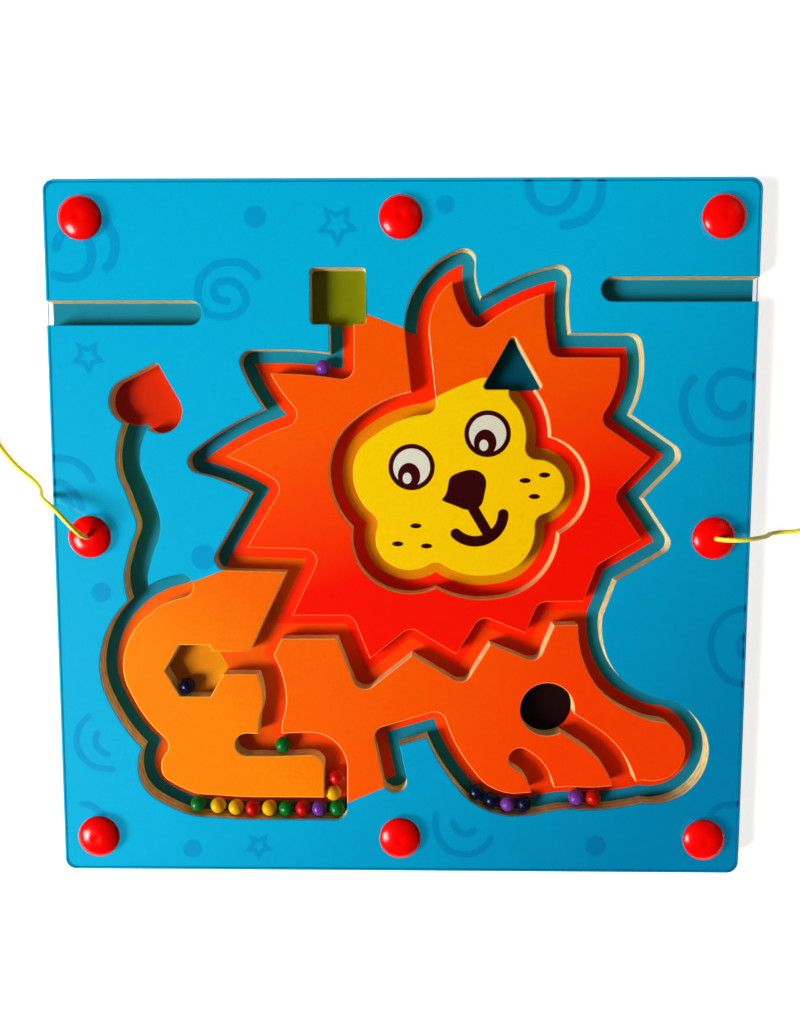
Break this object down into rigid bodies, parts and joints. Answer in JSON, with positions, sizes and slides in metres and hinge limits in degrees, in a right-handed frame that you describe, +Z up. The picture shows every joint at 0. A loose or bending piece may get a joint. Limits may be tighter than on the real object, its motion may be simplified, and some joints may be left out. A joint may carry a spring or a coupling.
{
  "type": "magnetic maze board",
  "caption": "Square wooden maze board with a lion picture: coloured steel balls in routed channels under a clear riveted cover, and two magnet pens on cords.",
  "frame": {"origin": "middle of the board, on the surface that its feet stand on", "axes": "+Z up, out of the picture; +Y towards the picture's top; +X towards the picture's right"},
  "size_m": [0.4362, 0.3238, 0.0255],
  "materials": {
    "plywood": "sanded",
    "hardboard": "smooth",
    "print_field": "printed film",
    "print_mane": "printed film",
    "print_face": "printed film",
    "print_haunch": "printed film",
    "print_body": "printed film",
    "print_square": "printed film",
    "print_hexagon": "printed film",
    "print_circle": "printed film",
    "print_triangle": "printed film",
    "print_heart": "printed film",
    "print_dark": "printed film",
    "print_white": "printed film",
    "clear_sheet": "clear, polished",
    "red_plastic": "moulded",
    "yellow_cord": "woven",
    "magnet": "plated",
    "ball_green": "lacquered, glossy",
    "ball_yellow": "lacquered, glossy",
    "ball_red": "lacquered, glossy",
    "ball_purple": "lacquered, glossy",
    "ball_blue": "lacquered, glossy"
  },
  "bodies": {
    "board": {"base_board": "hardboard", "floor_print_field": "print_field", "floor_print_mane": "print_mane", "floor_print_face": "print_face", "floor_print_haunch": "print_haunch", "floor_print_body": "print_body", "floor_print_square": "print_square", "floor_print_hexagon": "print_hexagon", "floor_print_circle": "print_circle", "floor_print_triangle": "print_triangle", "floor_print_heart": "print_heart", "maze_panel": "plywood", "panel_print_field": "print_field", "panel_print_mane": "print_mane", "panel_print_face": "print_face", "panel_print_haunch": "print_haunch", "panel_print_body": "print_body", "face_marks": "print_dark", "eye_whites": "print_white", "clear_cover": "clear_sheet", "rivet_sockets": "red_plastic", "rivet_cap_top_left": "red_plastic", "rivet_cap_top_centre": "red_plastic", "rivet_cap_top_right": "red_plastic", "rivet_cap_middle_left": "red_plastic", "rivet_cap_middle_right": "red_plastic", "rivet_cap_bottom_left": "red_plastic", "rivet_cap_bottom_centre": "red_plastic", "rivet_cap_bottom_right": "red_plastic", "cord_left": "yellow_cord", "cord_left_coil": "yellow_cord", "cord_left_knot": "yellow_cord", "pen_left": "red_plastic", "pen_left_magnet": "magnet", "cord_right": "yellow_cord", "cord_right_coil": "yellow_cord", "cord_right_knot": "yellow_cord", "pen_right": "red_plastic", "pen_right_magnet": "magnet"},
    "ball_green_1": {"ball_green_1": "ball_green"},
    "ball_yellow_1": {"ball_yellow_1": "ball_yellow"},
    "ball_yellow_2": {"ball_yellow_2": "ball_yellow"},
    "ball_red_1": {"ball_red_1": "ball_red"},
    "ball_yellow_3": {"ball_yellow_3": "ball_yellow"},
    "ball_green_2": {"ball_green_2": "ball_green"},
    "ball_red_2": {"ball_red_2": "ball_red"},
    "ball_purple_1": {"ball_purple_1": "ball_purple"},
    "ball_green_3": {"ball_green_3": "ball_green"},
    "ball_yellow_4": {"ball_yellow_4": "ball_yellow"},
    "ball_red_3": {"ball_red_3": "ball_red"},
    "ball_green_4": {"ball_green_4": "ball_green"},
    "ball_blue_1": {"ball_blue_1": "ball_blue"},
    "ball_purple_2": {"ball_purple_2": "ball_purple"},
    "ball_blue_2": {"ball_blue_2": "ball_blue"},
    "ball_blue_3": {"ball_blue_3": "ball_blue"},
    "ball_purple_3": {"ball_purple_3": "ball_purple"},
    "ball_blue_4": {"ball_blue_4": "ball_blue"},
    "ball_purple_4": {"ball_purple_4": "ball_purple"},
    "ball_red_4": {"ball_red_4": "ball_red"}
  },
  "joints": [
    {"name": "ball_green_1_roll", "type": "slide", "parent": "board", "child": "ball_green_1", "axis": [-0.9404, 0.3401, 0], "range_m": [0, 0.004]},
    {"name": "ball_yellow_1_roll", "type": "slide", "parent": "board", "child": "ball_yellow_1", "axis": [-0.9707, 0.2402, 0], "range_m": [0, 0.004]},
    {"name": "ball_yellow_2_roll", "type": "slide", "parent": "board", "child": "ball_yellow_2", "axis": [-0.9854, 0.1701, 0], "range_m": [0, 0.004]},
    {"name": "ball_red_1_roll", "type": "slide", "parent": "board", "child": "ball_red_1", "axis": [-1, 0, 0], "range_m": [0, 0.004]},
    {"name": "ball_yellow_3_roll", "type": "slide", "parent": "board", "child": "ball_yellow_3", "axis": [-1, 0, 0], "range_m": [0, 0.004]},
    {"name": "ball_green_2_roll", "type": "slide", "parent": "board", "child": "ball_green_2", "axis": [-1, 0, 0], "range_m": [0, 0.004]},
    {"name": "ball_red_2_roll", "type": "slide", "parent": "board", "child": "ball_red_2", "axis": [-1, 0, 0], "range_m": [0, 0.004]},
    {"name": "ball_purple_1_roll", "type": "slide", "parent": "board", "child": "ball_purple_1", "axis": [-1, 0, 0], "range_m": [0, 0.004]},
    {"name": "ball_green_3_roll", "type": "slide", "parent": "board", "child": "ball_green_3", "axis": [-1, 0, 0], "range_m": [0, 0.004]},
    {"name": "ball_yellow_4_roll", "type": "slide", "parent": "board", "child": "ball_yellow_4", "axis": [0, 1, 0], "range_m": [0, 0.006]},
    {"name": "ball_red_3_roll", "type": "slide", "parent": "board", "child": "ball_red_3", "axis": [0, 1, 0], "range_m": [0, 0.006]},
    {"name": "ball_green_4_roll", "type": "slide", "parent": "board", "child": "ball_green_4", "axis": [1, 0, 0], "range_m": [-0.013, 0.006]},
    {"name": "ball_blue_1_roll", "type": "slide", "parent": "board", "child": "ball_blue_1", "axis": [1, 0, 0], "range_m": [0, 0.008]},
    {"name": "ball_purple_2_roll", "type": "slide", "parent": "board", "child": "ball_purple_2", "axis": [-0.9972, 0.0748, 0], "range_m": [-0.004, 0.022]},
    {"name": "ball_blue_2_roll", "type": "slide", "parent": "board", "child": "ball_blue_2", "axis": [0.9117, -0.4108, 0], "range_m": [0, 0.006]},
    {"name": "ball_blue_3_roll", "type": "slide", "parent": "board", "child": "ball_blue_3", "axis": [0.9707, -0.2402, 0], "range_m": [0, 0.006]},
    {"name": "ball_purple_3_roll", "type": "slide", "parent": "board", "child": "ball_purple_3", "axis": [1, 0, 0], "range_m": [0, 0.006]},
    {"name": "ball_blue_4_roll", "type": "slide", "parent": "board", "child": "ball_blue_4", "axis": [0.9927, 0.1203, 0], "range_m": [0, 0.006]},
    {"name": "ball_purple_4_roll", "type": "slide", "parent": "board", "child": "ball_purple_4", "axis": [1, 0, 0], "range_m": [-0.01, 0]},
    {"name": "ball_red_4_roll", "type": "slide", "parent": "board", "child": "ball_red_4", "axis": [0.9707, 0.2402, 0], "range_m": [0, 0.01]}
  ],
  "couplings": [
    {"joint": "ball_yellow_1_roll", "follows": "ball_green_1_roll", "ratio": 1},
    {"joint": "ball_yellow_2_roll", "follows": "ball_green_1_roll", "ratio": 1},
    {"joint": "ball_red_1_roll", "follows": "ball_green_1_roll", "ratio": 1},
    {"joint": "ball_yellow_3_roll", "follows": "ball_green_1_roll", "ratio": 1},
    {"joint": "ball_green_2_roll", "follows": "ball_green_1_roll", "ratio": 1},
    {"joint": "ball_red_2_roll", "follows": "ball_green_1_roll", "ratio": 1},
    {"joint": "ball_purple_1_roll", "follows": "ball_green_1_roll", "ratio": 1},
    {"joint": "ball_green_3_roll", "follows": "ball_green_1_roll", "ratio": 1},
    {"joint": "ball_red_3_roll", "follows": "ball_yellow_4_roll", "ratio": 1},
    {"joint": "ball_blue_3_roll", "follows": "ball_blue_2_roll", "ratio": 1},
    {"joint": "ball_purple_3_roll", "follows": "ball_blue_2_roll", "ratio": 1},
    {"joint": "ball_blue_4_roll", "follows": "ball_blue_2_roll", "ratio": 1}
  ]
}
